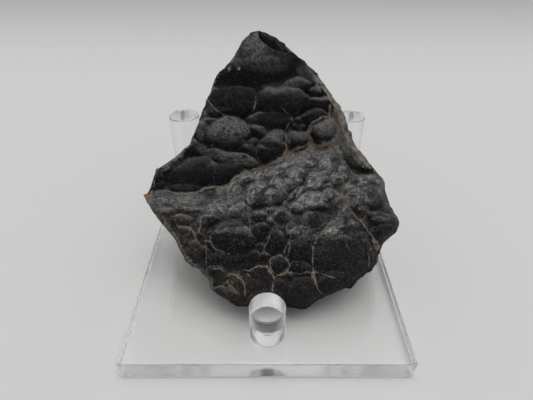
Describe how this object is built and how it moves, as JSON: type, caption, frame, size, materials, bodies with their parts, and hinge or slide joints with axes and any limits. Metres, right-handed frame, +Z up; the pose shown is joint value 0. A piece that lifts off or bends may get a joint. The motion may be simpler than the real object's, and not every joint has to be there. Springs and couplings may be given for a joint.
{
  "type": "mineral specimen on an acrylic stand",
  "caption": "Broken piece of botryoidal hematite with a lumpy metallic-grey face, leaning back on a clear acrylic three-peg display stand.",
  "frame": {"origin": "middle of the underside of the stand's plate, on the surface that it stands on", "axes": "+Z up, -Y to the front where the short peg stands, +X to the right as seen from the front"},
  "size_m": [0.1016, 0.1016, 0.0901],
  "materials": {
    "hematite_stone": "dull metallic grey with rust-tan dust in the grooves",
    "clear_acrylic": "clear, polished"
  },
  "bodies": {
    "root": {"hematite": "hematite_stone", "base_plate": "clear_acrylic", "front_peg": "clear_acrylic", "back_left_peg": "clear_acrylic", "back_right_peg": "clear_acrylic"}
  },
  "joints": []
}
